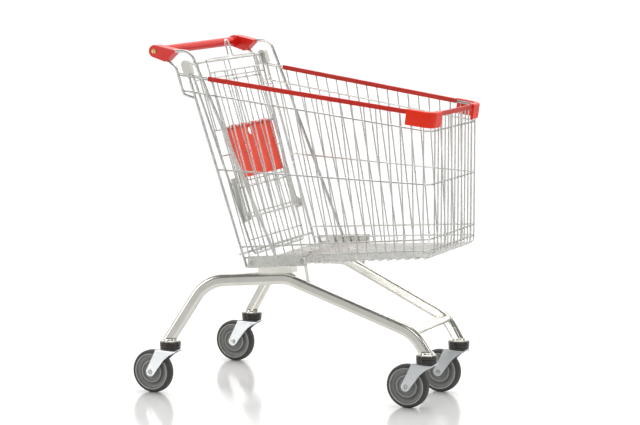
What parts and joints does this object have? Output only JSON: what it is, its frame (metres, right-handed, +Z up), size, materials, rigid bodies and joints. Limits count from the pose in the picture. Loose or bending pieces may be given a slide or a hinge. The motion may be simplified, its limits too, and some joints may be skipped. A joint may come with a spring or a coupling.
{
  "type": "shopping trolley",
  "caption": "Wire shopping trolley on swivel casters, with a tapering basket, a swinging rear gate, a folding child seat and a plastic handle.",
  "frame": {"origin": "on the floor, under the middle of the overall length and width", "axes": "+X to the front of the trolley, +Y to its left, +Z up"},
  "size_m": [0.906, 0.5678, 1.0102],
  "materials": {
    "chassis_steel": "bright zinc plate, satin",
    "basket_wire": "bright zinc plate under clear lacquer",
    "rim_red": "satin moulded plastic",
    "handle_red": "fine-textured gloss",
    "seat_red": "fine-grained moulded plastic",
    "hinge_grey": "satin moulded plastic",
    "collar_black": "satin moulded plastic",
    "fork_zinc": "bright zinc plate",
    "tyre_grey": "matt rubber",
    "wheel_grey": "moulded plastic",
    "fastener_zinc": "zinc plate",
    "brass_screw": "machined"
  },
  "bodies": {
    "trolley": {"caster_sockets": "chassis_steel", "chassis_tube_left": "chassis_steel", "chassis_tube_right": "chassis_steel", "corner_bumpers": "rim_red", "corner_rods": "basket_wire", "crossmember": "chassis_steel", "floor_cross_wires": "basket_wire", "floor_long_wires": "basket_wire", "front_crossbar": "chassis_steel", "front_wires": "basket_wire", "handle_brackets": "handle_red", "handle_core": "chassis_steel", "handle_grip": "handle_red", "handle_screws": "brass_screw", "hinge_brackets": "hinge_grey", "kingpins": "fastener_zinc", "lower_handle_rods": "basket_wire", "plate_bolts": "fastener_zinc", "rear_cross_rods": "basket_wire", "rim_fronts": "basket_wire", "rim_profile_front": "rim_red", "rim_profile_sides": "rim_red", "rim_sides": "basket_wire", "ring_fronts": "basket_wire", "ring_sides": "basket_wire", "side_plates": "chassis_steel", "side_wires": "basket_wire", "support_pads": "chassis_steel", "support_struts": "chassis_steel", "swivel_collars": "collar_black", "upper_handle_rods": "basket_wire"},
    "gate": {"gate_bottom_rod": "basket_wire", "gate_cross_wires": "basket_wire", "gate_hinge_bar": "basket_wire", "gate_side_rods": "basket_wire", "gate_wires": "basket_wire", "seat_pivot_strips": "hinge_grey"},
    "seat_back": {"seat_cross_bars": "basket_wire", "seat_hook_wire": "basket_wire", "seat_pivot_rod": "fastener_zinc", "seat_side_rods": "basket_wire", "seat_wires": "basket_wire"},
    "seat_panel": {"seat_panel": "seat_red"},
    "rear_left_caster": {"rear_left_fork": "fork_zinc", "rear_left_axle": "fastener_zinc"},
    "rear_left_roller": {"rear_left_tyre": "tyre_grey", "rear_left_wheel": "wheel_grey"},
    "rear_right_caster": {"rear_right_fork": "fork_zinc", "rear_right_axle": "fastener_zinc"},
    "rear_right_roller": {"rear_right_tyre": "tyre_grey", "rear_right_wheel": "wheel_grey"},
    "front_left_caster": {"front_left_fork": "fork_zinc", "front_left_axle": "fastener_zinc"},
    "front_left_roller": {"front_left_tyre": "tyre_grey", "front_left_wheel": "wheel_grey"},
    "front_right_caster": {"front_right_fork": "fork_zinc", "front_right_axle": "fastener_zinc"},
    "front_right_roller": {"front_right_tyre": "tyre_grey", "front_right_wheel": "wheel_grey"}
  },
  "joints": [
    {"name": "rear_left_swivel", "type": "hinge", "parent": "trolley", "child": "rear_left_caster", "pos_m": [-0.3335, 0.253, 0.13], "axis": [0, 0, 1], "continuous": true},
    {"name": "rear_left_roll", "type": "hinge", "parent": "rear_left_caster", "child": "rear_left_roller", "pos_m": [-0.3905, 0.253, 0.0625], "axis": [0, 1, 0], "continuous": true},
    {"name": "rear_right_swivel", "type": "hinge", "parent": "trolley", "child": "rear_right_caster", "pos_m": [-0.3335, -0.253, 0.13], "axis": [0, 0, 1], "continuous": true},
    {"name": "rear_right_roll", "type": "hinge", "parent": "rear_right_caster", "child": "rear_right_roller", "pos_m": [-0.3905, -0.253, 0.0625], "axis": [0, 1, 0], "continuous": true},
    {"name": "front_left_swivel", "type": "hinge", "parent": "trolley", "child": "front_left_caster", "pos_m": [0.4105, 0.1163, 0.13], "axis": [0, 0, 1], "continuous": true},
    {"name": "front_left_roll", "type": "hinge", "parent": "front_left_caster", "child": "front_left_roller", "pos_m": [0.3535, 0.1163, 0.0625], "axis": [0, 1, 0], "continuous": true},
    {"name": "front_right_swivel", "type": "hinge", "parent": "trolley", "child": "front_right_caster", "pos_m": [0.4105, -0.1163, 0.13], "axis": [0, 0, 1], "continuous": true},
    {"name": "front_right_roll", "type": "hinge", "parent": "front_right_caster", "child": "front_right_roller", "pos_m": [0.3535, -0.1163, 0.0625], "axis": [0, 1, 0], "continuous": true},
    {"name": "gate_swing", "type": "hinge", "parent": "trolley", "child": "gate", "pos_m": [-0.2831, 0, 0.9515], "axis": [0, -1, 0], "range_deg": [0, 62]},
    {"name": "seat_back_fold", "type": "hinge", "parent": "gate", "child": "seat_back", "pos_m": [-0.12383, 0, 0.51564], "axis": [0, 1, 0], "range_deg": [0, 45]},
    {"name": "seat_panel_fold", "type": "hinge", "parent": "seat_back", "child": "seat_panel", "pos_m": [-0.20856, 0, 0.76539], "axis": [0, 1, 0], "range_deg": [0, 40.5]}
  ],
  "couplings": [
    {"joint": "seat_panel_fold", "follows": "seat_back_fold", "ratio": 0.9}
  ]
}
